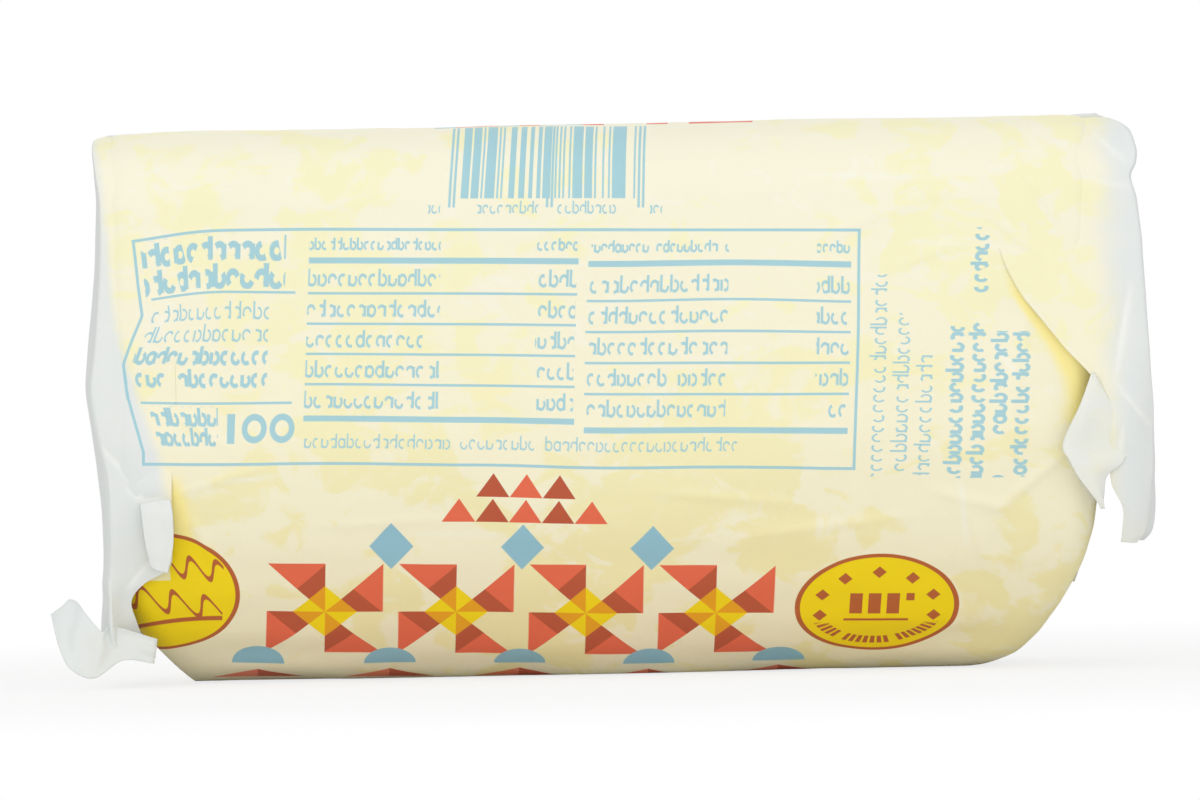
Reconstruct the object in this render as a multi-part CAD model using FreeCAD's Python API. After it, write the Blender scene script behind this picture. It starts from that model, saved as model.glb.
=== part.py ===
"""A soft rectangular block of butter in one sheet of translucent parchment.

The block lies on its base: +X along its length, +Y from front to back, +Z up, and the
origin is at the middle of the base of the whole pack. The butter is one solid. The paper
is the other: a thin wall all round the butter, a lap along the back, the tucked folds on
both ends, and the loose end flaps that hang over them from the top. Millimetres.
"""

import FreeCAD
import Part

import math
import os

Vector = FreeCAD.Vector

# Butter block, without its paper.
BUTTER_LENGTH = 153.6
BUTTER_DEPTH = 82.8
BUTTER_HEIGHT = 84.6
UPRIGHT_EDGE_RADIUS = 9.0  # the four edges that stand up at the corners
FOOT_REACH, FOOT_RISE = 26.0, 38.0  # how far the long sides curve in under the block
CROWN_REACH, CROWN_RISE = 11.0, 12.0  # and over its top
SLOPE_ROUNDNESS = 1.6  # 2 makes the long sides' foot a quarter ellipse, 1 a straight slope
LEFT_TAPER, RIGHT_TAPER = 5.4, 1.0  # each end leans in by this much towards the base
LEFT_FOOT_REACH, LEFT_FOOT_RISE = 6.0, 6.0
RIGHT_FOOT_REACH, RIGHT_FOOT_RISE = 19.0, 32.0
END_CROWN_REACH, END_CROWN_RISE = 3.2, 3.6

# Paper wrapper.
PAPER_GAP = 0.2  # air between butter and paper
PAPER_WALL = 0.5  # the overlapping layers of the sheet
LAP_END_MARGIN = 7.7  # from each end of the pack to the lap's ends
LAP_WIDTH, LAP_BELOW_CROWN = 30.0, 8.0  # from its free edge up to its root, and from there up
FOLD_THICKNESS = 0.6  # flap and tuck layers
LEFT_TUCK_FOOT, RIGHT_TUCK_FOOT = 6.0, 13.0  # where the lower flaps' folded roots start
TUCK_TOP = 52.0  # height that the folded-up lower flap reaches on each end
TUCK_FOOT_HALF, TUCK_TOP_HALF = 22.0, 9.0  # its half width at the foot and at its tip

# Loose end flaps, as (share of the pack's height, how far the free front edge lies inside
# the end of the pack, how far the outer crease stands off that end, where the crease and
# the back edge lie along the depth, as shares of half the depth).
LEFT_FLAP = (
    (0.985, 6.0, -2.0, -0.62, 0.50),
    (0.93, 4.6, 0.6, -0.80, 0.74),
    (0.86, 3.6, 0.7, -0.86, 0.80),
    (0.68, 3.4, 2.9, -0.90, 0.76),
    (0.54, 1.9, 4.7, -0.90, 0.68),
    (0.44, 2.9, 4.4, -0.88, 0.56),
    (0.38, 6.2, 4.0, -0.87, 0.48),
    (0.28, 6.4, 4.0, -0.85, 0.32),
    (0.21, 5.2, 4.2, -0.84, 0.18),
    (0.17, -0.6, 4.4, -0.83, 0.08),
    (0.06, 0.4, 4.6, -0.80, -0.20),
)
RIGHT_FLAP = (
    (0.988, 7.0, -1.0, -0.62, 0.55),
    (0.965, 6.0, 3.6, -0.74, 0.70),
    (0.93, 4.6, 6.4, -0.82, 0.80),
    (0.89, 3.6, 5.4, -0.86, 0.82),
    (0.80, 2.4, 6.3, -0.88, 0.82),
    (0.67, -0.6, 7.2, -0.90, 0.76),
    (0.53, -0.4, 8.3, -0.90, 0.66),
    (0.40, -1.8, 9.3, -0.88, 0.52),
    (0.31, -2.4, 9.4, -0.86, 0.38),
    (0.235, -4.2, 7.4, -0.84, 0.20),
)
FRONT_EDGE_PROUD = 1.6  # how far the flaps' free front edges stand in front of the pack

# The curled tail at the foot of the left flap and the folded ear at the right end, as
# (distance past the pack's end, height) of both edges of the strip, and its place along
# the depth as a share of half the depth.
LEFT_TAIL = (
    ((-6.7, 3.8), (-7.3, 8.2), -0.80),
    ((-2.0, 4.3), (0.4, 9.2), -0.80),
    ((2.1, 1.7), (1.3, 8.8), -0.88),
    ((5.5, 3.4), (3.0, 11.4), -0.86),
    ((6.9, 6.5), (4.3, 12.6), -0.82),
    ((8.6, 11.5), (5.6, 13.4), -0.76),
)
RIGHT_EAR = (
    ((-4.8, 47.0), (-1.4, 47.6), -0.96),
    ((-7.2, 35.0), (0.4, 36.4), -1.05),
    ((-4.6, 29.6), (1.2, 31.0), -1.03),
    ((-1.0, 24.8), (0.6, 25.8), -0.96),
)

# What follows from these sizes.
PACK_GROW = PAPER_GAP + PAPER_WALL
PACK_HEIGHT = BUTTER_HEIGHT + 2 * PACK_GROW
HALF_LENGTH = BUTTER_LENGTH / 2 + PACK_GROW
HALF_DEPTH = BUTTER_DEPTH / 2 + PACK_GROW
LAP_HIGH = PACK_GROW + BUTTER_HEIGHT - CROWN_RISE - LAP_BELOW_CROWN
LAP_LOW = LAP_HIGH - LAP_WIDTH


def bend(share, reach, roundness=2.0):
    """Inset of a quarter superellipse: reach at share 0 of its rise, and none at share 1."""
    share = min(1.0, max(0.0, share))
    return reach * (1.0 - (1.0 - (1.0 - share) ** roundness) ** (1.0 / roundness))


def level_heights():
    """Heights of the block's level sections, close together where the sides curve."""
    foot = [FOOT_RISE * (1.0 - math.cos(math.radians(a))) for a in range(0, 91, 15)]
    shoulder = BUTTER_HEIGHT - CROWN_RISE
    wall = [foot[-1] + (shoulder - foot[-1]) * share for share in (1 / 3, 2 / 3)]
    crown = [shoulder + CROWN_RISE * math.sin(math.radians(a)) for a in range(0, 91, 18)]
    return foot + wall + crown


def insets(height):
    """How far the left end, the right end and both long sides lie in at a height."""
    below_top = BUTTER_HEIGHT - height
    lean = 1.0 - height / BUTTER_HEIGHT
    end_crown = bend(below_top / END_CROWN_RISE, END_CROWN_REACH)
    left = LEFT_TAPER * lean + bend(height / LEFT_FOOT_RISE, LEFT_FOOT_REACH) + end_crown
    right = RIGHT_TAPER * lean + bend(height / RIGHT_FOOT_RISE, RIGHT_FOOT_REACH) + end_crown
    foot = bend(height / FOOT_RISE, FOOT_REACH, SLOPE_ROUNDNESS)
    side = foot + bend(below_top / CROWN_RISE, CROWN_REACH)
    return left, right, side


def level_wire(height, grow):
    """The rounded rectangle that the block fills at one height, grown all round."""
    left, right, side = insets(height)
    low_x = -BUTTER_LENGTH / 2 + left - grow
    high_x = BUTTER_LENGTH / 2 - right + grow
    half_y = BUTTER_DEPTH / 2 - side + grow
    radius = min(UPRIGHT_EDGE_RADIUS + grow, half_y * 0.6)
    share = height / BUTTER_HEIGHT
    z = PACK_GROW - grow + share * (BUTTER_HEIGHT + 2 * grow)
    middles = (
        (high_x - radius, half_y - radius, 0),
        (low_x + radius, half_y - radius, 90),
        (low_x + radius, -half_y + radius, 180),
        (high_x - radius, -half_y + radius, 270),
    )
    edges = []
    last = None
    for x, y, start in middles:
        points = []
        for angle in (start, start + 45, start + 90):
            turn = math.radians(angle)
            points.append(Vector(x + radius * math.cos(turn), y + radius * math.sin(turn), z))
        if last is not None:
            edges.append(Part.LineSegment(last, points[0]).toShape())
        edges.append(Part.Arc(*points).toShape())
        last = points[2]
        if len(edges) == 1:
            first = points[0]
    edges.append(Part.LineSegment(last, first).toShape())
    return Part.Wire(edges)


def block(grow):
    """The butter's form, grown by the same amount on every side."""
    wires = [level_wire(height, grow) for height in level_heights()]
    return Part.makeLoft(wires, True, False)


def end_x(side, height):
    """Where the paper of the left (-1) or right (1) end lies at a height."""
    butter_height = min(max(height - PACK_GROW, 0.0), BUTTER_HEIGHT)
    left, right, _ = insets(butter_height)
    inset = left if side < 0 else right
    return side * (BUTTER_LENGTH / 2 - inset + PACK_GROW)


def front_y(height):
    """Where the paper of the front lies at a height."""
    butter_height = min(max(height - PACK_GROW, 0.0), BUTTER_HEIGHT)
    return -(BUTTER_DEPTH / 2 - insets(butter_height)[2] + PACK_GROW)


def strip_wire(line, z, thickness):
    """The outline of a bent strip of paper at one height: a line in plan, thickened."""
    normals = []
    for start, stop in zip(line, line[1:]):
        along = (stop - start).normalize()
        normals.append(Vector(-along.y, along.x, 0))
    shifts = [normals[0]]
    for before, after in zip(normals, normals[1:]):
        shifts.append((before + after) * (1.0 / (1.0 + before.dot(after))))
    shifts.append(normals[-1])
    half = thickness / 2
    outer = [point + shift * half for point, shift in zip(line, shifts)]
    inner = [point - shift * half for point, shift in zip(line, shifts)]
    corners = [Vector(p.x, p.y, z) for p in outer + inner[::-1]]
    return Part.makePolygon(corners + corners[:1])


def end_flap(side, stations):
    """A loose flap: a front panel from its free edge to the outer crease, and a broad
    panel from that crease back across the end."""
    wires = []
    for share, inside, stand_off, crease, back in stations:
        z = share * PACK_HEIGHT
        end = abs(end_x(side, z))
        free_edge = Vector(side * (end - inside), front_y(z) - FRONT_EDGE_PROUD, 0)
        outer_crease = Vector(side * (end + stand_off), crease * HALF_DEPTH, 0)
        back_edge = Vector(side * (end + stand_off * 0.7), back * HALF_DEPTH, 0)
        wires.append(strip_wire([free_edge, outer_crease, back_edge], z, FOLD_THICKNESS))
    return Part.makeLoft(wires, True, True)


def upright_strip(side, stations):
    """A narrow strip that faces the front, through thin upright quads."""
    wires = []
    half = FOLD_THICKNESS / 2
    for near, far, depth in stations:
        y = depth * HALF_DEPTH
        x_near, x_far = side * (HALF_LENGTH + near[0]), side * (HALF_LENGTH + far[0])
        corners = [
            Vector(x_near, y - half, near[1]),
            Vector(x_far, y - half, far[1]),
            Vector(x_far, y + half, far[1]),
            Vector(x_near, y + half, near[1]),
        ]
        wires.append(Part.makePolygon(corners + corners[:1]))
    return Part.makeLoft(wires, True, True)


def end_tuck(side, foot):
    """The lower flap, folded up flat against the end."""
    wires = []
    steps = 5
    for step in range(steps + 1):
        share = step / steps
        z = foot + share * (TUCK_TOP - foot)
        half_y = TUCK_FOOT_HALF + share * (TUCK_TOP_HALF - TUCK_FOOT_HALF)
        x = abs(end_x(side, z))
        inner, outer = side * (x - FOLD_THICKNESS / 2), side * (x + FOLD_THICKNESS)
        corners = [
            Vector(inner, -half_y, z),
            Vector(outer, -half_y, z),
            Vector(outer, half_y, z),
            Vector(inner, half_y, z),
        ]
        wires.append(Part.makePolygon(corners + corners[:1]))
    return Part.makeLoft(wires, True, True)


def back_lap():
    """The sheet's free long edge, lapped over the back and running into it above."""
    half_length = HALF_LENGTH - LAP_END_MARGIN
    corners = [
        Vector(-half_length, HALF_DEPTH - PAPER_WALL / 2, LAP_LOW),
        Vector(-half_length, HALF_DEPTH + PAPER_WALL, LAP_LOW),
        Vector(-half_length, HALF_DEPTH - PAPER_WALL / 2, LAP_HIGH),
    ]
    face = Part.Face(Part.makePolygon(corners + corners[:1]))
    return face.extrude(Vector(2 * half_length, 0, 0))


def wrapper():
    """The sheet as one solid, with the butter's room left free inside."""
    additions = [
        end_flap(-1, LEFT_FLAP),
        end_flap(1, RIGHT_FLAP),
        upright_strip(-1, LEFT_TAIL),
        upright_strip(1, RIGHT_EAR),
        end_tuck(-1, LEFT_TUCK_FOOT),
        end_tuck(1, RIGHT_TUCK_FOOT),
        back_lap(),
    ]
    folded = block(PACK_GROW).fuse(additions)
    return folded.cut(block(PAPER_GAP))


def main():
    os.makedirs("parts", exist_ok=True)
    nodes = {"butter": block(0.0), "wrapper": wrapper()}
    box = nodes["wrapper"].optimalBoundingBox(False, False)
    middle = Vector(-(box.XMin + box.XMax) / 2, -(box.YMin + box.YMax) / 2, -box.ZMin)
    for name, shape in nodes.items():
        solid = shape.Solids[0] if len(shape.Solids) == 1 else shape
        solid.translate(middle)
        solid.exportStep(f"parts/{name}.step")
        print(name, len(shape.Solids), "solid", solid.isValid(), round(solid.Volume / 1000, 1), "cm3")
        print("   box", solid.optimalBoundingBox(False, False))
    print("moved by", middle)


main()
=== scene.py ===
"""The looks of a soft block of butter in one printed sheet of translucent parchment.

Lengths are in millimetres until a mesh is made, and the frame's own axes are used: X along
the block, Y from the printed front to the back, Z up from the surface it stands on.
"""

import math

import bpy
import numpy as np
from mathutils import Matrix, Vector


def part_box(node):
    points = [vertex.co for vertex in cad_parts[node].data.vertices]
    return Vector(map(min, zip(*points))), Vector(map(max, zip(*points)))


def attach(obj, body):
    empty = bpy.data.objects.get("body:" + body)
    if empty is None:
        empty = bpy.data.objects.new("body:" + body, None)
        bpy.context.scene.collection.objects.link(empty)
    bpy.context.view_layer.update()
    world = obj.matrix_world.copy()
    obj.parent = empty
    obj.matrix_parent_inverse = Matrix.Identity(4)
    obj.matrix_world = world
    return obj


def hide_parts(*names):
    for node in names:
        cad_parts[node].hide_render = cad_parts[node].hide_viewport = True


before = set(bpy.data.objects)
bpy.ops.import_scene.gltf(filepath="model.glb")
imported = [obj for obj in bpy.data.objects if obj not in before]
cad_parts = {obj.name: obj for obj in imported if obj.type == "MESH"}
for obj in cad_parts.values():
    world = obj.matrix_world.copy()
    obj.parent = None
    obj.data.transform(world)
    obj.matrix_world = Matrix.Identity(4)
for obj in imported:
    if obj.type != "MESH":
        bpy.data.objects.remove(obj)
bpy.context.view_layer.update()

MM = 0.001

# ---------------------------------------------------------------- sizes of the block
butter_low, butter_high = (np.array(corner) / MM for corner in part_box("butter"))
PAPER = butter_low[2]  # paper and air between the butter and the outside
LEFT_END, RIGHT_END = butter_low[0] - PAPER, butter_high[0] + PAPER
MIDDLE_Y = (butter_low[1] + butter_high[1]) / 2
HALF_DEPTH = (butter_high[1] - butter_low[1]) / 2 + PAPER
HEIGHT = butter_high[2] + PAPER
FOOT_REACH, FOOT_RISE, SLOPE_ROUNDNESS = 26.0, 38.6, 1.6
CROWN_REACH, CROWN_RISE = 11.0, 12.2
FRONT_EDGE_RADIUS, BACK_EDGE_RADIUS = 4.5, 9.7
RIGHT_TAPER = 1.0
LEFT_LEAN = ((0.0, 12.3), (2.0, 10.2), (4.0, 8.4), (6.5, 6.2), (9.0, 3.8), (12.0, 2.3), (16.0, 1.4), (25.0, 0.9),
             (50.0, 0.4), (90.0, 0.0))  # (height, how far the paper's left end lies in)
RIGHT_FOOT = (19.0, 32.5)  # reach in from the end, rise
END_CROWN = (3.2, 3.7)
THICK = 0.12  # of a loose sheet


# ---------------------------------------------------------------- shape helpers
def bend(share, reach, roundness=2.0):
    """Inset of a quarter superellipse: reach where share is 0, none where it is 1."""
    share = np.clip(share, 0.0, 1.0)
    return reach * (1.0 - (1.0 - (1.0 - share) ** roundness) ** (1.0 / roundness))


def smooth(value, low, high):
    """0 below low, 1 above high, and a smooth S between them."""
    t = np.clip((value - low) / (high - low), 0.0, 1.0)
    return t * t * (3.0 - 2.0 * t)


def lumps(a, b, size_a, size_b, seed):
    """Smooth random hills about as long as size_a by size_b: a seeded lattice of heights
    between -1 and 1, blended with an S-curve in each direction."""
    lattice = np.random.RandomState(seed).uniform(-1.0, 1.0, (97, 97))
    u, v = a / size_a + 40.0, b / size_b + 40.0
    i, j = np.floor(u).astype(int), np.floor(v).astype(int)
    fu, fv = smooth(u - i, 0.0, 1.0), smooth(v - j, 0.0, 1.0)
    i0, j0, i1, j1 = i % 97, j % 97, (i + 1) % 97, (j + 1) % 97
    low = lattice[i0, j0] * (1 - fu) + lattice[i1, j0] * fu
    high = lattice[i0, j1] * (1 - fu) + lattice[i1, j1] * fu
    return low * (1 - fv) + high * fv


def through(stations, t):
    """A smooth curve through rows of numbers: cubic Hermite spans, whose slopes are the
    finite differences of their neighbours, read at t from 0 (first row) to 1 (last)."""
    rows = np.array(stations, float)
    slopes = np.gradient(rows, axis=0)
    place = np.clip(t, 0.0, 1.0) * (len(rows) - 1)
    k = np.minimum(place.astype(int), len(rows) - 2)
    f = (place - k)[..., None]
    a, b, da, db = rows[k], rows[k + 1], slopes[k], slopes[k + 1]
    f2, f3 = f * f, f * f * f
    return (2 * f3 - 3 * f2 + 1) * a + (f3 - 2 * f2 + f) * da + (3 * f2 - 2 * f3) * b + (f3 - f2) * db


def normals(points):
    """Unit normals of a grid of points: the cross product of its two directions."""
    across = np.gradient(points, axis=1)
    along = np.gradient(points, axis=0)
    normal = np.cross(along, across)
    return normal / np.maximum(np.linalg.norm(normal, axis=2, keepdims=True), 1e-9)


def fold_line(a, b, start, stop, width):
    """A ridge of height 1 along a segment of the plane: a Gaussian of the distance to it,
    fading to nothing at both ends."""
    start, stop = np.array(start), np.array(stop)
    run = stop - start
    t = ((a - start[0]) * run[0] + (b - start[1]) * run[1]) / run.dot(run)
    t = np.clip(t, 0.0, 1.0)
    gap = np.hypot(a - start[0] - t * run[0], b - start[1] - t * run[1])
    return np.exp(-((gap / width) ** 2)) * np.sqrt(np.sin(np.pi * np.clip(t, 0.001, 0.999)))


# ---------------------------------------------------------------- the block's own form
def left_x(z):
    """Where the paper of the left end lies at a height."""
    crown = bend((HEIGHT - z) / END_CROWN[1], END_CROWN[0])
    lean = np.array(LEFT_LEAN)
    return LEFT_END + np.interp(z, lean[:, 0], lean[:, 1]) + crown


def right_x(z):
    """Where the paper of the right end lies at a height."""
    crown = bend((HEIGHT - z) / END_CROWN[1], END_CROWN[0])
    return RIGHT_END - RIGHT_TAPER * (1 - z / HEIGHT) - bend(z / RIGHT_FOOT[1], RIGHT_FOOT[0]) - crown


def side_inset(z):
    """How far the front and the back lie in from the block's full depth at a height."""
    foot = bend(z / FOOT_RISE, FOOT_REACH, SLOPE_ROUNDNESS)
    return foot + bend((HEIGHT - z) / CROWN_RISE, CROWN_REACH)


def front_y(z):
    """Where the paper of the front lies at a height."""
    return MIDDLE_Y - HALF_DEPTH + side_inset(z)


def outline():
    """Half of the cross-section from the middle of the base, round the front, to the
    middle of the top: how far out and how high it lies, and its rise, which is the
    paper's length, set so that it equals the height at half the block's height."""
    turn = np.linspace(0.0, np.pi / 2, 400)
    z = np.concatenate([
        np.zeros(60),
        FOOT_RISE * (1 - np.cos(turn)),
        np.linspace(FOOT_RISE, HEIGHT - CROWN_RISE, 60)[1:-1],
        HEIGHT - CROWN_RISE + CROWN_RISE * np.sin(turn),
        np.full(60, HEIGHT),
    ])
    out = HALF_DEPTH - side_inset(z)
    out[:60] = np.linspace(0.0, out[60], 60)
    out[-60:] = np.linspace(out[-61], 0.0, 60)
    run = np.concatenate([[0.0], np.cumsum(np.hypot(np.diff(out), np.diff(z)))])
    upright = np.interp(HEIGHT / 2, z[60:-60], run[60:-60]) - HEIGHT / 2
    return out, z, run - upright


OUT, UP, RISE = outline()
BASE_RISE, TOP_RISE = RISE[0], RISE[-1]


def rise_at(z):
    """The paper's length up the front at a height."""
    return np.interp(z, UP[59:-59], RISE[59:-59])


# ---------------------------------------------------------------- making meshes
def add_mesh(name, points, faces, facts, slot, node, bands=None):
    """A mesh piece that rides on the body, with a number for each fact at each vertex and
    the material number of each face taken from its first vertex's band."""
    mesh = bpy.data.meshes.new(name)
    mesh.from_pydata((points * MM).tolist(), [], faces)
    for fact, values in facts.items():
        layer = mesh.attributes.new(fact, "FLOAT", "POINT")
        layer.data.foreach_set("value", values.astype(np.float32))
    mesh.polygons.foreach_set("use_smooth", np.ones(len(mesh.polygons), bool))
    piece = bpy.data.objects.new(name, mesh)
    bpy.context.scene.collection.objects.link(piece)
    for material in MATERIALS[slot]:
        mesh.materials.append(material)
    if bands is not None:
        starts = np.zeros(len(mesh.polygons), np.int32)
        corners = np.zeros(len(mesh.loops), np.int32)
        mesh.polygons.foreach_get("loop_start", starts)
        mesh.loops.foreach_get("vertex_index", corners)
        mesh.polygons.foreach_set("material_index", bands.astype(np.int32)[corners[starts]])
    mesh.update()
    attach(piece, "root")
    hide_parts(node)
    return piece


def quads(rows, columns, closed_rows=False):
    """The quads of a grid, as index rows, with the last row joined to the first if closed."""
    r = np.arange(rows if closed_rows else rows - 1)
    r, c = (g.ravel() for g in np.meshgrid(r, np.arange(columns - 1), indexing="ij"))
    here, ahead = r * columns + c, (r + 1) % rows * columns + c
    return np.stack([here, here + 1, ahead + 1, ahead], 1)


def loose_sheet(name, points, facts, band=None):
    """A thin closed sheet: the grid, the same grid set back along its normals, and a strip
    of quads round the rim that joins the two."""
    rows, columns = points.shape[:2]
    back = points - normals(points) * THICK
    front_faces = quads(rows, columns)
    count = rows * columns
    back_faces = front_faces[:, ::-1] + count
    index = np.arange(count).reshape(rows, columns)
    rim = np.concatenate([index[0, :-1], index[:-1, -1], index[-1, :0:-1], index[:0:-1, 0]])
    ahead = np.roll(rim, -1)
    rim_faces = np.stack([rim, rim + count, ahead + count, ahead], 1)
    everything = np.concatenate([points.reshape(-1, 3), back.reshape(-1, 3)])
    flat = np.zeros(count)
    full = {key: np.tile(facts[key].ravel() if key in facts else flat, 2) for key in FACTS}
    bands = None if band is None else np.concatenate([band.ravel(), flat])
    faces = np.concatenate([front_faces, back_faces, rim_faces]).tolist()
    return add_mesh(name, everything, faces, full, "parchment", "wrapper", bands)


# ---------------------------------------------------------------- the print's own place
# Parts of the print, each with a material of its own: the numbers are the places of those
# materials in a mesh's list.
PLAIN, TABLE, BORDER, MARGINS = 0.0, 1.0, 2.0, 3.0
PRINT_END = 79.0  # along the sheet, either way
BORDER_TOP, TABLE_TOP, TABLE_RIGHT = 31.1, 71.0, 41.6
UNDER_TAB = (-68.3, 17.0, 31.0)  # left of this x, and between these heights, nothing is printed
# The printed rows fall by TILT along the block, the columns lean by LEAN, and all of it
# lies higher by LIFT.
PRINT_TILT, PRINT_LEAN, PRINT_LIFT = 0.022, 0.045, 0.8
LEFT_PULLS = ((0.0, 0.0), (25.0, -1.0), (31.0, -3.0), (36.5, -3.0), (45.2, -0.4), (50.2, 0.3), (54.0, -1.0),
              (57.6, -2.4), (62.3, -1.6), (69.5, -0.6), (90.0, -0.5))  # (height, shift)


def print_place(x, rise):
    """Place on the printed sheet: along it and up it, with the left end's puckers, the
    droop of its upper left corner and the small waves of the paper."""
    pulls = np.array(LEFT_PULLS)
    pull = np.interp(rise, pulls[:, 0], pulls[:, 1]) * smooth(-x, 56.0, 70.0)
    droop = 2.0 * smooth(-x, 56.0, 76.0) ** 1.4 * smooth(rise, 50.0, 62.0)
    below = 68.0 - rise  # under the table's upper rule
    along = x + pull + PRINT_LEAN * below + 0.25 * lumps(x, rise, 19, 17, 71)
    up = rise - PRINT_LIFT + (PRINT_TILT + 0.00017 * below) * x + droop
    return along, up + 0.28 * lumps(x, rise, 21, 15, 72)


# ---------------------------------------------------------------- paper on the block
LENGTH_COLUMNS, END_COLUMNS = 290, 26
FRONT_STEP, BACK_STEP = 0.56, 2.6  # paper length between rows
BUTTER_INSET = 1.6
FACTS = ("along", "up", "cling", "deep", "white")
# Painted highlights along folds of the paper: both ends, width and how white.
FOLD_HIGHLIGHTS = (
    ((-66.0, 60.0), (-72.5, 49.0), 0.5, 0.5), ((-60.0, 31.5), (-50.0, 32.5), 0.35, 0.7),
    ((66.0, 56.5), (69.0, 60.0), 0.6, 0.6), ((60.5, 50.5), (64.5, 45.0), 0.5, 0.6),
    ((55.0, 30.0), (56.0, 18.0), 0.5, 0.5), ((30.0, 77.5), (54.0, 76.5), 0.5, 0.4),
    ((-30.0, 22.5), (-15.0, 22.0), 0.4, 0.4), ((48.0, 66.6), (58.0, 66.0), 0.5, 0.5),
    ((70.8, 34.0), (77.0, 24.0), 0.5, 0.7),
)
# Creases in the paper on the front: both ends in the plane of length and rise, how wide
# and how high they stand.
CREASES = (
    ((-71, 63), (-66, 50), 0.7, 0.35), ((-69, 44), (-58, 37), 0.6, 0.25), ((-66, 30), (-52, 34), 0.6, 0.3),
    ((-64, 26), (-60, 16), 0.8, 0.35), ((-46, 24), (-20, 25), 0.8, 0.2), ((4, 29), (31, 26), 0.7, 0.25),
    ((22, 21), (49, 24), 0.9, 0.3), ((30, 66), (52, 74), 0.8, 0.25), ((50, 28), (64, 24), 0.9, 0.35),
    ((60, 24), (72, 34), 0.7, 0.4), ((44, 62), (60, 68), 0.6, 0.2), ((-60, 76), (-44, 81), 0.6, 0.2),
    ((60, 12), (56, 26), 0.8, 0.3), ((62, 30), (66, 58), 0.9, 0.3), ((-10, 79), (26, 81), 0.6, 0.2),
    ((-74, 30), (-68, 8), 0.8, 0.35), ((64, 80), (74, 66), 0.9, 0.3), ((70, 62), (60, 71), 0.7, 0.25),
)
# The crease at the upper right, where the sheet is drawn over itself: from its hidden
# start, down to the block's corner.
SLIP = ((62.4, 63.4), (64.7, 58.4), (67.7, 54.5), (71.5, 49.7), (75.0, 45.0), (75.9, 41.1))


def slip_distance(a, b):
    """Distance below and to the left of the slip crease, and how far along it."""
    line = np.array(SLIP)
    line_x = np.interp(-b, -line[:, 1], line[:, 0])
    way = (line[0, 1] - b) / (line[0, 1] - line[-1, 1])
    return line_x - a, way


def cling_at_left(x, z):
    """1 where the paper lies on the butter, 0 where it hangs free towards the left end."""
    edge = np.interp(z, [10, 25, 36, 46, 56, 70, 86], [67.6, 67.8, 69.0, 72.5, 75.5, 76.5, 78.5])
    return smooth(x + edge, -1.8, 2.2)


def cling_at_right(x, z):
    """1 where the paper lies on the butter, 0 where it hangs free towards the right end."""
    return 1.0 - smooth(x, 72.5, 80.5) * smooth(z, 44.0, 50.0)


def paper_relief(a, b):
    """Height of the paper over the block's form: broad hills, slumps that run along the
    foot, fine waves, the creases, and the hollow beside the slip crease."""
    relief = 0.42 * lumps(a, b, 31, 26, 3) + 0.16 * lumps(a, b, 12, 9, 4)
    relief += 0.22 * lumps(a, b, 26, 4.2, 5) * smooth(b, 34, 16)
    relief += 0.10 * lumps(a, b, 15, 2.6, 6) * smooth(b, 70, 80)
    relief += 0.05 * lumps(a, b, 3.4, 3.1, 7)
    for start, stop, width, height in CREASES:
        relief += height * fold_line(a, b, start, stop, width)
    left_of, way = slip_distance(a, b)
    hollow = smooth(left_of, -1.0, 0.4) * smooth(left_of, 7.0, 2.0)
    relief -= 0.35 * hollow * smooth(way, 0.15, 0.75) * smooth(way, 1.35, 1.1)
    return relief


def block_grid(grow=0.0):
    """The block as one closed grid. Each row is a line of the cross-section's outline, and
    runs from the middle of the left end, over its edge, along the block and over the right
    end. Near the ends the depth shrinks by the upright edge's radius, and on the end faces
    both depth and height shrink to the middle. Returns points and place on the paper."""
    front = np.arange(BASE_RISE + 14.0, TOP_RISE - 24.0, FRONT_STEP)
    base = np.linspace(BASE_RISE, BASE_RISE + 14.0, 8)[:-1]
    top = np.linspace(TOP_RISE - 24.0, TOP_RISE, 12)
    back = np.linspace(TOP_RISE, BASE_RISE, int((TOP_RISE - BASE_RISE) / BACK_STEP))[1:-1]
    rise = np.concatenate([base, front, top, back])
    side = np.concatenate([-np.ones(len(base) + len(front) + len(top)), np.ones(len(back))])
    depth = np.interp(rise, RISE, OUT) * side
    z = np.interp(rise, RISE, UP)

    along = np.linspace(0.0, 1.0, LENGTH_COLUMNS)
    ease = np.linspace(0.0, 1.0, END_COLUMNS + 1)[:-1]
    radial = np.concatenate([ease, np.ones(LENGTH_COLUMNS), ease[::-1]])
    share = np.concatenate([np.zeros(END_COLUMNS), along, np.ones(END_COLUMNS)])

    middle_z = HEIGHT * 0.52
    z_all = middle_z + (z[:, None] - middle_z) * radial
    x_low, x_high = left_x(z_all), right_x(z_all)
    x = x_low + (x_high - x_low) * share
    gap = np.minimum(x - x_low, x_high - x)
    radius = np.where(side < 0, FRONT_EDGE_RADIUS, BACK_EDGE_RADIUS)[:, None]
    inset = radius - np.sqrt(np.maximum(radius**2 - np.maximum(radius - gap, 0) ** 2, 0))
    y = MIDDLE_Y + depth[:, None] * (1 - inset / HALF_DEPTH) * radial
    points = np.stack([x, y, z_all], 2)
    rise_all = np.broadcast_to(rise[:, None], x.shape)
    front_side = np.broadcast_to((side < 0)[:, None], x.shape)
    if grow:
        points = points + outward(points) * grow
    return points, x, rise_all, radial * np.ones_like(x), front_side


def outward(points):
    """Normals of the block's closed grid, with its first and last rows joined."""
    ring = np.concatenate([points[-1:], points, points[:1]])
    return -normals(ring)[1:-1]


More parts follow.
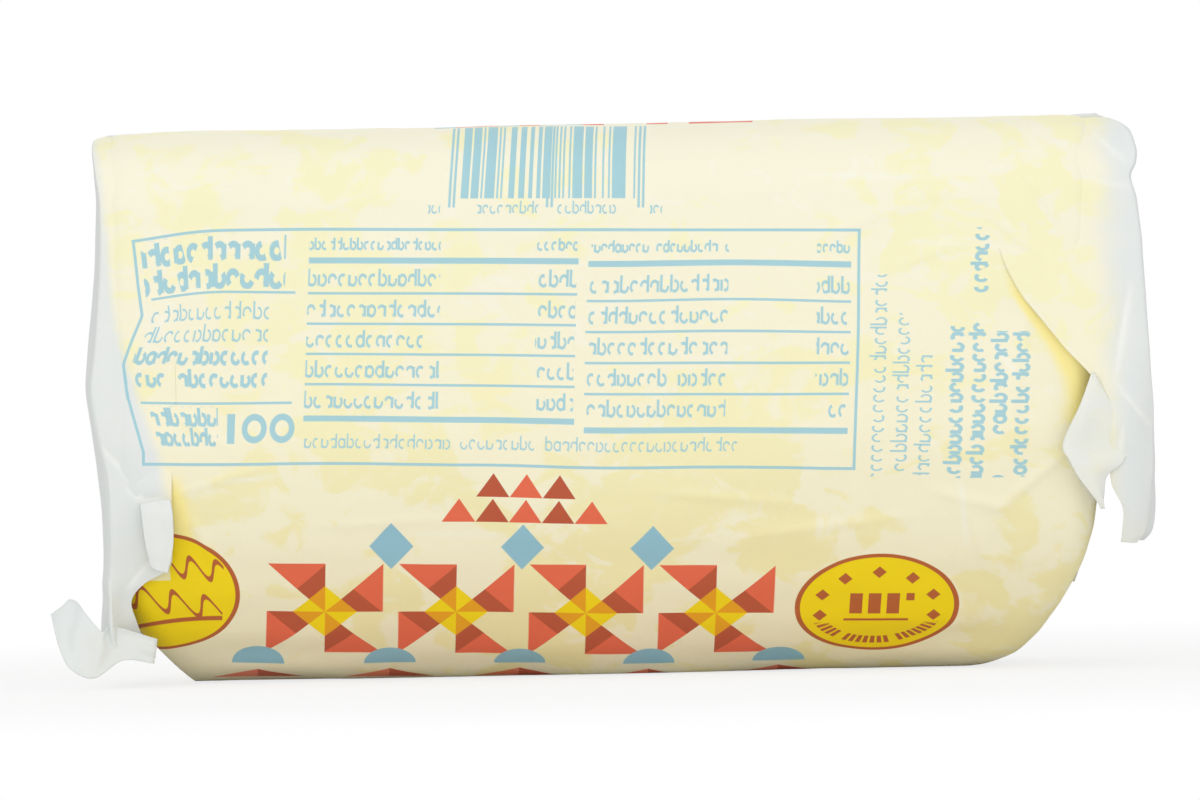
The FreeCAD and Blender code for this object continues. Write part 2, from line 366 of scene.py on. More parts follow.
def close_poles(points, facts):
    """The closed grid's vertices and faces, with each end's middle column as one vertex."""
    rows, columns = points.shape[:2]
    inner = points[:, 1:-1].reshape(-1, 3)
    faces = quads(rows, columns - 2, closed_rows=True)[:, ::-1]
    left, right = len(inner), len(inner) + 1
    first = np.arange(rows) * (columns - 2)
    following = np.roll(first, -1)
    last, last_following = first + columns - 3, following + columns - 3
    fans = [np.stack([first, following, np.full(rows, left)], 1)[:, ::-1],
            np.stack([last, last_following, np.full(rows, right)], 1)]
    ends = np.stack([points[:, 0].mean(0), points[:, -1].mean(0)])
    facts = {key: np.concatenate([value[:, 1:-1].ravel(), [value[:, 0].mean(), value[:, -1].mean()]])
             for key, value in facts.items()}
    faces = faces.tolist() + fans[0].tolist() + fans[1].tolist()
    return np.concatenate([inner, ends]), faces, facts


def deep_yellow_and_crease_shade(a, b):
    """Where pressed butter shows deep yellow, partly its own colour and partly painted shade in
    the crease: a band beside the slip crease that widens on its way down, and a wedge beside
    the left tab."""
    left_of, way = slip_distance(a, b)
    width = np.interp(way, [0, 0.3, 0.6, 0.8, 1.1, 1.35], [0.8, 2.2, 3.2, 5.0, 6.0, 1.2])
    band = smooth(left_of, width, width * 0.45) * smooth(left_of, -1.5, -0.5)
    band = band * smooth(way, 0.02, 0.3) * smooth(way, 1.4, 1.2)
    return np.maximum(band, 1.3 * fold_line(a, b, (-67.0, 33.0), (-64.6, 18.0), 1.5))


def wrapped_block():
    """The paper that lies on the butter, all round: the block's grid moved out along its
    normals by the front's relief, calmer behind the left tab, or by the plainer relief of
    the back or the ends."""
    points, x, rise, radial, front_side = block_grid()
    depth, height = points[..., 1], points[..., 2]
    relief = paper_relief(x, rise)
    relief = relief * (1 - 0.8 * smooth(-x, 66.0, 69.0) * smooth(height, 44.0, 34.0))
    relief = np.where(front_side, relief, 0.4 * lumps(x, rise, 28, 22, 11) + 0.15 * lumps(x, rise, 9, 8, 12))
    on_end = smooth(radial, 0.93, 0.6)
    end_relief = 0.5 * lumps(depth, height, 9, 17, 13) + 0.3 * lumps(depth, height, 5, 6, 14)
    relief = relief * (1 - on_end) + end_relief * on_end
    points = points + outward(points) * relief[..., None]
    points[..., 2] = np.maximum(points[..., 2], 0.0)
    along, up = print_place(x, rise)
    # Painted highlights along the folds.
    white = sum(share * fold_line(x, rise, start, stop, wide) for start, stop, wide, share in FOLD_HIGHLIGHTS)
    left_cling = np.maximum(cling_at_left(x, height), smooth(height, 30.0, 24.0))
    facts = {
        "along": along,
        "up": up,
        "cling": np.where(front_side, left_cling * cling_at_right(x, height), 1.0) - 0.25 * on_end,
        "deep": deep_yellow_and_crease_shade(x, rise) * front_side,
        "white": white * front_side,
    }
    under_tab = (x < UNDER_TAB[0]) & (height > UNDER_TAB[1]) & (height < UNDER_TAB[2])
    printed = (np.abs(along) < PRINT_END) & front_side & ~under_tab
    beside = (up > TABLE_TOP) | (along > TABLE_RIGHT)
    part = np.where(up < BORDER_TOP, BORDER, np.where(beside, MARGINS, TABLE))
    facts["band"] = np.where(printed, part, PLAIN)
    points, faces, facts = close_poles(points, facts)
    bands = np.round(facts.pop("band"))
    return add_mesh("paper_on_block", points, faces, facts, "parchment", "wrapper", bands)


def butter_core():
    """The butter itself: a coarser grid of the block's form, a little inside the paper."""
    points, faces, facts = close_poles(block_grid(grow=-BUTTER_INSET)[0][::3, ::3], {})
    return add_mesh("butter_core", points, faces, facts, "butter", "butter")


# ---------------------------------------------------------------- loose end flaps
# Rows from the top down: height, the front panel's inner edge (x), the outer crease (x),
# that crease's and the back edge's places along the depth (shares of half of it), and how
# far the inner edge stands in front of the paper on the block (less than 0: out of sight
# in it).
LEFT_FLAP = (
    (85.9, -69.0, -76.9, -0.62, 0.55, -0.9),
    (84.6, -67.0, -78.6, -0.84, 0.66, -0.5),
    (80.0, -66.5, -78.2, -0.95, 0.76, -0.25),
    (74.6, -66.0, -77.5, -0.975, 0.80, -0.2),
    (66.0, -66.0, -77.6, -0.98, 0.80, -0.2),
    (58.3, -66.0, -78.2, -0.98, 0.77, -0.2),
    (52.0, -66.0, -78.8, -0.98, 0.73, -0.2),
    (46.0, -66.0, -79.3, -0.98, 0.69, -0.15),
    (39.7, -66.0, -78.4, -0.975, 0.63, -0.15),
    (34.5, -66.8, -77.4, -0.965, 0.57, 0.0),
    (31.0, -67.0, -77.0, -0.96, 0.50, 0.6),
    (27.0, -67.1, -76.8, -0.95, 0.42, 1.0),
    (22.0, -67.2, -76.8, -0.92, 0.30, 1.2),
    (18.4, -67.9, -77.0, -0.89, 0.22, 1.3),
    (16.0, -71.9, -77.2, -0.88, 0.16, 1.6),
    (13.4, -73.9, -77.1, -0.87, 0.08, 1.8),
    (10.2, -73.3, -77.1, -0.86, -0.06, 2.4),
    (7.0, -72.2, -76.9, -0.84, -0.20, 3.0),
    (4.4, -70.6, -76.0, -0.82, -0.36, 3.6),
)
RIGHT_FLAP = (
    (85.9, 68.5, 76.0, -0.62, 0.55, -1.0),
    (85.6, 66.5, 79.6, -0.82, 0.64, -0.7),
    (83.8, 65.0, 82.3, -0.90, 0.74, -0.5),
    (80.6, 64.0, 83.5, -0.95, 0.80, -0.3),
    (78.2, 63.0, 83.4, -0.965, 0.82, -0.2),
    (76.0, 62.0, 82.6, -0.97, 0.82, -0.15),
    (72.5, 61.0, 83.4, -0.975, 0.82, -0.1),
    (67.0, 61.4, 83.9, -0.975, 0.80, 0.05),
    (63.4, 62.2, 84.0, -0.975, 0.78, 0.35),
    (58.4, 64.7, 84.3, -0.97, 0.76, 0.5),
    (54.5, 67.7, 84.5, -0.965, 0.74, 0.5),
    (49.7, 71.5, 84.8, -0.96, 0.71, 0.6),
    (45.4, 75.4, 85.0, -0.94, 0.68, 0.8),
    (41.0, 78.3, 85.2, -0.93, 0.64, 0.6),
    (36.0, 78.3, 85.2, -0.92, 0.59, 0.4),
    (31.4, 78.2, 85.2, -0.91, 0.52, 0.4),
    (28.4, 78.4, 84.9, -0.90, 0.46, 0.5),
    (24.7, 80.1, 84.5, -0.88, 0.38, 0.6),
    (21.0, 80.0, 83.6, -0.87, 0.30, 0.6),
    (19.4, 79.8, 82.2, -0.86, 0.26, 0.6),
)
# Folds in the flaps, which stand out a little and carry painted highlights: both ends in the plane of the front,
# width and how white.
FLAP_FOLDS = (
    ((-78.5, 38.5), (-73.0, 32.0), 0.5, 0.6), ((-74.0, 31.5), (-71.5, 29.0), 0.6, 1.0),
    ((-72.0, 29.0), (-67.6, 29.6), 0.7, 1.0), ((-71.6, 28.5), (-70.8, 18.5), 0.4, 0.5),
    ((-78.6, 40.5), (-77.6, 10.0), 0.7, 0.4), ((-75.0, 15.0), (-71.0, 19.5), 0.5, 0.5),
    ((82.0, 60.0), (79.0, 44.5), 0.55, 0.9), ((78.8, 44.5), (84.6, 37.5), 0.4, 0.7),
    ((76.5, 83.0), (82.0, 78.0), 0.6, 0.5), ((74.0, 76.0), (82.5, 74.5), 0.6, 0.4),
    ((79.2, 31.0), (80.2, 38.0), 0.5, 0.6),
)
FRONT_COLUMNS, PANEL_COLUMNS, FLAP_ROWS = 60, 60, 230
CREASE_SOFTENING = np.array([1, 4, 7, 4, 1]) / 17.0  # weights of a column and its neighbours


def end_flap(name, side, stations):
    """A loose flap: at each height a line in plan from the inner edge, bulging forward, to
    the outer crease, and from there across the end to the back edge, with small pleats.
    Its top edge turns in to the block over the end."""
    t = np.linspace(0.0, 1.0, FLAP_ROWS)
    rows = through(stations, t)
    z, inner, crease, crease_depth, back_depth, proud = (rows[:, k, None] for k in range(6))
    end = left_x(z) if side < 0 else right_x(z)
    columns = FRONT_COLUMNS + PANEL_COLUMNS
    s = np.linspace(0.0, 1.0, columns)[None, :]
    split = FRONT_COLUMNS / columns
    f = np.clip(s / split, 0.0, 1.0)
    g = np.clip((s - split) / (1 - split), 0.0, 1.0)
    in_front = s <= split
    y_inner, y_crease = front_y(z) - proud, MIDDLE_Y + crease_depth * HALF_DEPTH
    y_back = MIDDLE_Y + back_depth * HALF_DEPTH
    x_back = end + (crease - end) * 0.55 + side * 0.5
    x_back = x_back + (crease + side * 1.5 - x_back) * smooth(z, 44.0, 32.0)
    x_front = inner + (crease - inner) * f
    bulge = np.sin(np.pi * g) * (1.2 + 1.0 * lumps(z, z * 0, 17, 10, 21 + side))
    x = np.where(in_front, x_front, crease + (x_back - crease) * g + side * bulge)
    y = np.where(in_front, y_inner + (y_crease - y_inner) * f**2.4, y_crease + (y_back - y_crease) * g)
    shut = smooth(z, 83.4, 85.6) * smooth(g, 0.0, 0.15)
    lip = end + side * (0.3 - 1.6 * smooth(z, 85.3, 85.8))
    x = x + (lip - x) * shut
    drop = 1.6 * (1 - f) * smooth(z, 78.0, 85.5)
    height = z - drop + 0 * s
    points = np.stack([x, y, height], 2)
    padded = np.pad(points, ((0, 0), (2, 2), (0, 0)), mode="reflect", reflect_type="odd")
    points = sum(share * padded[:, k:k + columns] for k, share in enumerate(CREASE_SOFTENING))
    out = normals(points) * -side
    free = smooth(f + g, 0.1, 0.7)
    place = np.where(in_front, x_front, crease + g * 60 * side)
    relief = free * (0.30 * lumps(place, height, 8, 19, 31 + side) + 0.16 * lumps(place, height, 3.5, 8, 33 + side))
    relief += 0.5 * g * (1 - g) * lumps(place, height, 6, 60, 35 + side)
    # Painted highlights along the flap's folds, which also lift them a little.
    white = sum(share * fold_line(place, height, a, b, wide) for a, b, wide, share in FLAP_FOLDS)
    points = points + out * (relief + 0.35 * white)[..., None]
    along, up = print_place(place, rise_at(height))
    over_butter = cling_at_left(place, height) if side < 0 else smooth(place, 84.5, 72.5)
    tip = 0.25 * smooth(height, 24.0, 22.5) * (side > 0)
    facts = {
        "along": along,
        "up": up,
        "cling": np.where(in_front, np.maximum(over_butter, tip), 0.0),
        "deep": np.zeros_like(x),
        "white": np.clip(white, 0, 1),
    }
    band = np.where(in_front & (up > BORDER_TOP) & (up < TABLE_TOP) & (side < 0), TABLE, PLAIN)
    if side < 0:
        points, facts, band = points[:, ::-1], {k: v[:, ::-1] for k, v in facts.items()}, band[:, ::-1]
    return loose_sheet(name, points, facts, band)


def strip(name, stations, columns=24, rows=60, wave=0.5, seed=41, cling=0.0, white=0.0):
    """A narrow strip of paper through stations that give both its edges, with its middle
    line set forward so that it isn't flat."""
    t = np.linspace(0.0, 1.0, rows)
    edges = through([np.concatenate([a, b]) for a, b in stations], t)
    near, far = edges[:, None, :3], edges[:, None, 3:]
    s = np.linspace(0.0, 1.0, columns)[None, :, None]
    points = near + (far - near) * s
    arch = np.sin(np.pi * s[..., 0]) * wave * (0.6 + lumps(t[:, None] * 20, s[..., 0] * 6, 4, 3, seed))
    points = points + normals(points) * arch[..., None]
    flat = np.zeros((rows, columns))
    return loose_sheet(name, points, {"cling": flat + cling, "white": flat + white})


# Both edges of the curled tail at the left flap's foot, and of the ear at the right end:
# x, y and height.
LEFT_TAIL = (
    ((-70.6, -33.5, 3.6), (-70.0, -33.0, 7.4)),
    ((-75.4, -34.6, 4.2), (-76.9, -34.2, 9.6)),
    ((-79.8, -37.0, 1.6), (-78.5, -35.2, 8.8)),
    ((-83.4, -37.5, 3.1), (-81.0, -34.6, 11.6)),
    ((-85.2, -36.0, 6.4), (-82.4, -33.0, 13.4)),
    ((-86.5, -34.0, 11.6), (-83.6, -31.6, 13.8)),
)
RIGHT_EAR = (
    ((75.5, -42.8, 45.8), (76.1, -42.6, 45.6)),
    ((73.6, -43.4, 41.0), (78.7, -41.8, 40.6)),
    ((70.8, -43.6, 35.0), (80.9, -40.6, 35.4)),
    ((71.7, -43.8, 32.4), (80.4, -40.6, 32.0)),
    ((73.2, -43.4, 29.6), (77.7, -41.0, 29.8)),
    ((75.6, -42.0, 26.4), (77.2, -40.6, 27.0)),
    ((76.6, -40.6, 24.7), (76.9, -40.2, 24.9)),
)


# The doubled corner folded in front of the left flap.
LEFT_TAB = (
    ((-72.0, -40.5, 28.6), (-67.3, -41.0, 29.2)),
    ((-71.8, -40.5, 26.5), (-66.9, -41.0, 26.6)),
    ((-71.3, -39.6, 22.0), (-67.0, -40.0, 22.0)),
    ((-70.6, -38.6, 18.6), (-68.0, -38.9, 17.7)),
)


LAP_ROOT, LAP_EDGE = 66.0, 35.6  # heights


def back_lap():
    """The sheet's free edge along the back: a shallow band from its root, hidden in the
    paper above, down to an edge that stands a little off the paper under it. Near the
    ends it follows the block's rounded edges."""
    x = np.linspace(LEFT_END + 1.0, RIGHT_END - 1.5, 300)[None, :]
    t = np.linspace(0.0, 1.0, 40)[:, None]
    low = LAP_EDGE + 0.8 * lumps(x, x * 0, 30, 10, 51)
    z = LAP_ROOT + (low - LAP_ROOT) * t + 0 * x
    to_left, to_right = x - left_x(z), right_x(z) - x
    turn = np.clip(1 - np.minimum(to_left, to_right) / BACK_EDGE_RADIUS, 0.0, 0.99)
    facing = np.sqrt(1 - turn**2)
    inset = BACK_EDGE_RADIUS * (1 - facing)
    off = -0.5 + 1.3 * smooth(t, 0.0, 0.5) + 0.35 * lumps(x, z, 26, 30, 52) * t
    off = off + 0.5 * smooth(t, 0.75, 1.0) * (lumps(x, x * 0, 12, 5, 53) * 0.5 + 0.5)
    y = MIDDLE_Y + (HALF_DEPTH - side_inset(z)) * (1 - inset / HALF_DEPTH) + off * facing
    x = x + off * turn * np.where(to_left < to_right, -1.0, 1.0)
    points = np.stack([x, y, z], 2)[:, ::-1]
    return loose_sheet("back_lap", points, {"cling": np.zeros(points.shape[:2]) + 0.9 - 0.3 * t})


TUCK_TOP, TUCK_FOOT_HALF, TUCK_TOP_HALF = 52.0, 22.0, 9.0  # height, half widths


def end_tuck(name, side, foot):
    """The lower flap folded up against an end: a trapezoid that leans out a little."""
    t = np.linspace(0.0, 1.0, 60)[:, None]
    s = np.linspace(-1.0, 1.0, 60)[None, :]
    z = foot + (TUCK_TOP - foot) * t + 0 * s
    half = TUCK_FOOT_HALF + (TUCK_TOP_HALF - TUCK_FOOT_HALF) * t
    y = MIDDLE_Y + half * s
    end = left_x(z) if side < 0 else right_x(z)
    x = end + side * (0.5 + 0.9 * t + 0.4 * lumps(y, z, 9, 12, 61 + side))
    points = np.stack([x, y, z], 2)
    if side > 0:
        points = points[:, ::-1]
    return loose_sheet(name, points, {"cling": np.zeros(points.shape[:2]) + 0.4})


# ---------------------------------------------------------------- shader maths
class Sum:
    """A shader socket that is reckoned with like a number."""

    def __init__(self, tree, socket):
        self.tree, self.socket = tree, socket

    def node(self, kind, settings=None, inputs=None, output=0):
        """A node of this tree: its settings are set first, then its sockets' values."""
        made = self.tree.nodes.new(kind)
        for key, value in (settings or {}).items():
            setattr(made, key, value)
        for key, value in (inputs or {}).items():
            if isinstance(value, Sum):
                self.tree.links.new(value.socket, made.inputs[key])
            else:
                made.inputs[key].default_value = value
        return Sum(self.tree, made.outputs[output])

    def reckon(self, operation, *values):
        return self.node("ShaderNodeMath", {"operation": operation}, dict(enumerate(values)))

    def __add__(self, other):
        return self.reckon("ADD", self, other)

    __radd__ = __add__

    def __sub__(self, other):
        return self.reckon("SUBTRACT", self, other)

    def __rsub__(self, other):
        return self.reckon("SUBTRACT", other, self)

    def __mul__(self, other):
        return self.reckon("MULTIPLY", self, other)

    __rmul__ = __mul__

    def __truediv__(self, other):
        return self.reckon("DIVIDE", self, other)

    def __abs__(self):
        return self.reckon("ABSOLUTE", self)

    def floor(self):
        return self.reckon("FLOOR", self)

    def dice(self, row):
        """A random number from 0 to 1 for each pair of whole numbers."""
        place = self.node("ShaderNodeCombineXYZ", None, {0: self, 1: row})
        return self.node("ShaderNodeTexWhiteNoise", {"noise_dimensions": "2D"}, {"Vector": place})

    def sine(self):
        return self.reckon("SINE", self)

    def most(self, other):
        return self.reckon("MAXIMUM", self, other)

    def over(self, edge):
        """1 where this is more than the edge, else 0."""
        return self.reckon("GREATER_THAN", self, edge)

    def ease(self, low, high):
        """A smooth step from 0 at low to 1 at high, either way round."""
        settings = {"interpolation_type": "SMOOTHSTEP"}
        return self.node("ShaderNodeMapRange", settings, {"Value": self, "From Min": low, "From Max": high})


def colour(red, green, blue):
    """A screen colour from 0 to 255 as the linear colour that a socket takes."""
    linear = [((c / 255 + 0.055) / 1.055) ** 2.4 for c in (red, green, blue)]
    return (*linear, 1.0)


def blend(under, over, share):
    """One colour laid over another by a share."""
    return share.node("ShaderNodeMix", {"data_type": "RGBA"}, {0: share, 6: under, 7: over}, output=2)


def noise(start, x, y, scale, detail=2.0, rough=0.5, warp=0.0, z=0.0):
    """Soft noise, between 0 and 1, over a plane measured in millimetres."""
    place = start.node("ShaderNodeCombineXYZ", None, {0: x, 1: y, 2: z})
    values = {"Vector": place, "Scale": scale, "Detail": detail, "Roughness": rough, "Distortion": warp}
    return start.node("ShaderNodeTexNoise", {"noise_dimensions": "3D"}, values)


def new_material(name):
    """An empty material with its tree, its surface shader and a first socket to reckon from."""
    material = bpy.data.materials.new(name)
    material.use_nodes = True
    tree = material.node_tree
    shader = tree.nodes["Principled BSDF"]
    start = Sum(tree, shader.outputs[0])
    return material, tree, shader, start


# ---------------------------------------------------------------- the print
INK = colour(157, 205, 217)
RED, BROWN = colour(232, 107, 75), colour(188, 87, 56)
SUN, AMBER = colour(247, 217, 0), colour(236, 164, 22)
SKY = colour(146, 192, 209)
OCHRE = colour(184, 96, 48)
SOFT = 0.09  # width of an ink edge


def bar(x, y, low_x, high_x, low_y, high_y):
    """1 inside an upright rectangle."""
    middle_x, middle_y = (low_x + high_x) / 2, (low_y + high_y) / 2
    wide = abs(x - middle_x).ease((high_x - low_x) / 2 + SOFT, (high_x - low_x) / 2)
    tall = abs(y - middle_y).ease((high_y - low_y) / 2 + SOFT, (high_y - low_y) / 2)
    return wide * tall


def spans(x, y, pairs, low, high):
    """1 inside any of some rectangles that share their foot and head."""
    ink = bar(x, y, *pairs[0], low, high)
    for left, right in pairs[1:]:
        ink = ink.most(bar(x, y, left, right, low, high))
    return ink


def words(x, y, pairs, first, pitch, count, tall, heavy, seed):
    """Rows of marks that look like words from afar and spell nothing: at even steps a
    broken ring, some with an upright stroke at one side, in runs with gaps. Heavy is the
    half width of a stroke as a share of the marks' height."""
    step = 0.60
    row = ((first + pitch / 2 - y) / pitch).floor()
    level = (y - (first - row * pitch)) / tall
    place = x * (1.0 / tall / step)
    cell = place.floor()
    u = (place - cell - 0.5) * step
    chance = cell.dice(row + seed)
    second, third, fourth = (chance * k - (chance * k).floor() for k in (7.0, 17.0, 41.0))
    low = level + 0.17
    reach = x.reckon("SQRT", u * u * 22.0 + low * low * 10.5)
    broken = (low * (second - 0.5) * 3.0 + u * (third - 0.5) * 6.0).over(-0.10)
    ring_ink = abs(reach - 1.0).ease(heavy * 3.8 + 0.12, heavy * 3.8 - 0.06) * broken
    post = abs(u + 0.20 - 0.40 * second.over(0.5)).ease(heavy + 0.03, heavy - 0.02)
    head = 0.14 + 0.36 * fourth.over(0.55)
    post = post * level.ease(head + 0.04, head - 0.02) * level.ease(-0.54, -0.48) * third.over(0.4)
    run = noise(x, cell * 0.21, row * 7.7 + seed, 1.0, 0.0).over(0.27)
    inside = spans(x, y, pairs, first - pitch * (count - 0.5), first + pitch / 2)
    return inside * run * ring_ink.most(post)


def ellipse(x, y, middle_x, middle_y, half_x, half_y):
    """Share of the way from an ellipse's middle to its edge: 1 on the ellipse."""
    a, b = (x - middle_x) / half_x, (y - middle_y) / half_y
    return x.reckon("SQRT", a * a + b * b)


def ring(x, y, middle_x, middle_y, half_x, half_y, line):
    """An oval line of a given width."""
    reach = ellipse(x, y, middle_x, middle_y, half_x, half_y)
    return abs(reach - 1.0).ease((line / 2 + SOFT) / half_y, line / 2 / half_y)


def table_ink(x, y):
    """The blue table: its frame, thick and thin rules, and rows of words and numbers."""
    left, right, low, high, line = -73.0, 40.4, 31.8, 68.9, 0.46
    ink = bar(x, y, left, right, low, high) * (1 - bar(x, y, left + line, right - line, low + line, high - line))
    for low_x, high_x, level, half in (
        (-45.0, -3.4, 63.9, 0.42), (-1.8, 39.0, 63.5, 0.42), (-45.0, -3.4, 39.1, 0.42), (-1.8, 39.0, 37.8, 0.42),
        (-71.0, -47.0, 58.9, 0.15), (-71.0, -47.0, 41.6, 0.15),
    ):
        ink = ink.most(bar(x, y, low_x, high_x, level - half, level + half))
    for k in range(4):
        ink = ink.most(bar(x, y, -45.0, -3.4, 58.66 - 4.78 * k, 58.96 - 4.78 * k))
        ink = ink.most(bar(x, y, -1.8, 39.0, 57.64 - 4.8 * k, 57.94 - 4.8 * k))
    right_column = x.over(-2.6)
    lowered, header = y + right_column * 0.9, y + right_column * 0.3
    columns = ((-45.0, -24.5), (-9.6, -3.6), (-1.4, 20.0), (33.8, 38.8))
    ink = ink.most(words(x, header, columns, 66.5, 3.0, 1, 1.8, 0.085, 14))
    ink = ink.most(words(x, lowered, columns, 61.3, 4.79, 5, 2.6, 0.07, 21))
    ink = ink.most(words(x, y, ((-71.8, -48.6),), 66.0, 4.4, 2, 3.7, 0.115, 3))
    lower = (50.8 - y).over(0.0) * 0.05 + 0.05
    ink = ink.most(words(x, y, ((-71.5, -51.0),), 56.1, 3.5, 4, 2.7, lower, 7))
    ink = ink.most(words(x, y, ((-70.0, -58.6),), 39.5, 3.1, 2, 2.8, 0.10, 12))
    ink = ink.most(words(x, y, ((-45.0, 22.0),), 35.6, 3.0, 1, 2.2, 0.05, 29))
    for middle in (-52.6, -48.3):
        ink = ink.most(ring(x, y, middle, 37.6, 1.5, 1.8, 0.95))
    return ink.most(bar(x, y, -56.9, -55.7, 35.3, 39.9))


def margin_ink(x, y):
    """Upright bars of random widths that stand for no number, with small marks under
    them, and lines of words that run up the sheet beside the table."""
    cell = (x / 0.305).floor()
    guards = ((-23.5, -23.2), (-22.8, -22.5), (-8.5, -8.2), (-7.8, -7.5), (5.6, 5.9), (6.3, 6.6))
    tall = bar(x, y, -21.9, 5.2, 73.6, 88.9)
    ink = (cell.dice(4.0).over(0.48) * tall).most(spans(x, y, guards, 72.2, 88.9))
    ink = ink.most(words(x, y, ((-26.6, -24.8), (-18.9, -9.7), (-7.0, 2.2), (7.6, 9.4)), 72.2, 3.0, 1, 1.9, 0.06, 61))
    up = x * -1.0
    light = spans(y, up, ((30.6, 62.0),), -45.1, -41.0).most(spans(y, up, ((30.6, 56.0),), -48.7, -45.1))
    light = light.most(spans(y, up, ((30.6, 50.0),), -53.0, -48.7))
    ink = ink.most(words(y, up, ((30.6, 62.0),), -43.3, 3.6, 3, 2.5, 0.05, 41) * light)
    bold = spans(y, up, ((30.4, 54.5),), -57.0, -53.0).most(spans(y, up, ((30.4, 69.0),), -60.4, -57.0))
    bold = bold.most(spans(y, up, ((30.4, 53.2),), -68.0, -60.4))
    return ink.most(words(y, up, ((30.4, 69.0),), -55.1, 3.45, 4, 2.6, 0.10, 47) * bold)


def top_border(x, y, paper):
    """The edge of a border on the top that just shows over the crown: red and blue
    pieces in a row."""
    cell = (x / 3.3).floor()
    chance = cell.dice(3.0)
    row = bar(x, y - x * 0.03, -26.4, 26.4, 90.2, 99.0)
    ink = blend(paper, RED, row * chance.over(0.6))
    return blend(ink, SKY, row * chance.ease(0.41, 0.40))


def blue_table(x, y, paper):
    return blend(paper, INK, table_ink(x, y) * 0.92)


def blue_margins(x, y, paper):
    return blend(top_border(x, y, paper), INK, margin_ink(x, y) * 0.92)


def patchwork(x, y, paper):
    """A border of traditional patchwork low on the front: a row of pinwheels, with blue
    diamonds above the gaps and half discs and flat triangles below them, and a short
    flock of triangles on top."""
    pitch, first, count, half = 20.4, -41.5, 4, 9.0
    cell = ((x - first) / pitch + 0.5).floor()
    inside = bar(x, y, first - pitch / 2, first + pitch * (count - 0.5), -6.0, 18.5)
    a, b = (x - (first + cell * pitch)) / half, (y - 6.6) / half
    wide, same = (abs(a) - abs(b)).over(0.0), (a * b).over(0.0)
    blade = 1 - abs(wide - same)
    square, reach = abs(a).most(abs(b)), abs(a) + abs(b)
    ink = blend(paper, RED, inside * blade * square.ease(1.01, 0.99))
    ink = blend(ink, BROWN, inside * blade * reach.ease(0.99, 0.97))
    ink = blend(ink, SUN, inside * reach.ease(0.56, 0.54))
    ink = blend(ink, AMBER, inside * reach.ease(0.56, 0.54) * blade)
    gap = ((x - first) / pitch).floor()
    c, d = x - (first + (gap + 0.5) * pitch), y - 18.6
    between = bar(x, y, first, first + pitch * (count - 1), 10.0, 24.0)
    ink = blend(ink, SKY, between * (abs(c) / 3.4 + abs(d) / 3.9).ease(1.03, 0.98))
    disc = (c * c + (y + 5.2) * (y + 5.2)).ease(17.0, 16.0) * (y + 5.2).over(0.0)
    ink = blend(ink, SKY, disc * bar(x, y, first - pitch, first + pitch * count, -6.0, 2.0))
    foot = (abs(c) / 7.0 + (y + 10.5) / 3.6).ease(1.03, 0.98)
    foot = foot * bar(x, y, first - pitch, first + pitch * count, -10.5, -6.6)
    ink = blend(ink, RED, foot * 0.85)
    ink = blend(ink, BROWN, foot * c.over(0.0) * 0.85)
    step, start, tall = 5.2, -23.6, 3.8
    goose = ((x - start) / step).floor()
    e = (x - (start + (goose + 0.5) * step)) / (step / 2)
    row = ((y - 22.8) / (tall + 0.3)).floor()
    f = (y - 22.8 - row * (tall + 0.3)) / tall
    flock = bar(x, y, start, start + step * 5, 22.8, 26.7).most(bar(x, y, start + step, start + step * 4, 26.9, 30.8))
    flock = flock * (f + abs(e)).ease(1.02, 0.98) * f.ease(-0.01, 0.01)
    odd = (goose * 0.5 - (goose * 0.5).floor()).over(0.25)
    ink = blend(ink, RED, flock * (1 - odd))
    return blend(ink, BROWN, flock * odd)


# Middle and half sizes of the two ovals.
LEFT_OVAL, RIGHT_OVAL = (-67.6, 9.4, 12.5, 11.0), (44.7, 7.8, 12.4, 9.9)


def ovals(x, y, paper):
    """Two yellow ovals with a brown rim: one with bold bars between an arc of lozenges
    and an arc of small marks, the other with waves over a curved line."""
    ink = paper
    for oval in (LEFT_OVAL, RIGHT_OVAL):
        ink = blend(ink, SUN, ellipse(x, y, *oval).ease(1.02, 0.98))
        ink = blend(ink, OCHRE, ring(x, y, *oval, 0.55))
    middle_x, middle_y, half_x, half_y = RIGHT_OVAL
    for k in range(7):
        turn = math.radians(-15 + 35 * k)
        mark_x, mark_y = middle_x + 9.2 * math.cos(turn), middle_y + 6.8 * math.sin(turn)
        ink = blend(ink, OCHRE, (abs(x - mark_x) + abs(y - mark_y)).ease(1.2, 1.05))
    for low_x, high_x, low_y in ((40.4, 42.3, 6.4), (43.3, 45.2, 6.4), (46.2, 48.1, 6.4), (49.2, 50.4, 9.0)):
        ink = blend(ink, OCHRE, bar(x, y, low_x, high_x, low_y, 10.4))
    ink = blend(ink, OCHRE, bar(x, y, 39.6, 49.6, 4.9, 5.3))
    a, b = (x - middle_x) / half_x, (y - middle_y) / half_y
    turn = a.reckon("ARCTAN2", b, a) * 9.0
    cell = turn.floor()
    around = abs(ellipse(x, y, *RIGHT_OVAL) - 0.77).ease(0.09, 0.08) * b.ease(-0.3, -0.4)
    ink = blend(ink, OCHRE, around * abs(turn - cell - 0.5).ease(0.36, 0.3) * cell.dice(5.0).over(0.12))
    for level, size, length, slant in ((15.0, 1.7, 1.5, 0.12), (8.2, 2.0, 1.3, 0.16)):
        wave = y - level + (x + 66.0) * slant - (x * length + y * 0.5).sine() * size
        ink = blend(ink, OCHRE, abs(wave).ease(0.6, 0.42) * bar(x, y, -73.5, -57.5, 1.0, 18.5))
    bow = y - 4.4 - (x + 66.0) * 0.12 + (x + 63.0) * (x + 63.0) * 0.012
    return blend(ink, OCHRE, abs(bow).ease(0.5, 0.35) * bar(x, y, -71.0, -57.5, -2.0, 9.0))


def lower_border(x, y, paper):
    return ovals(x, y, patchwork(x, y, paper))
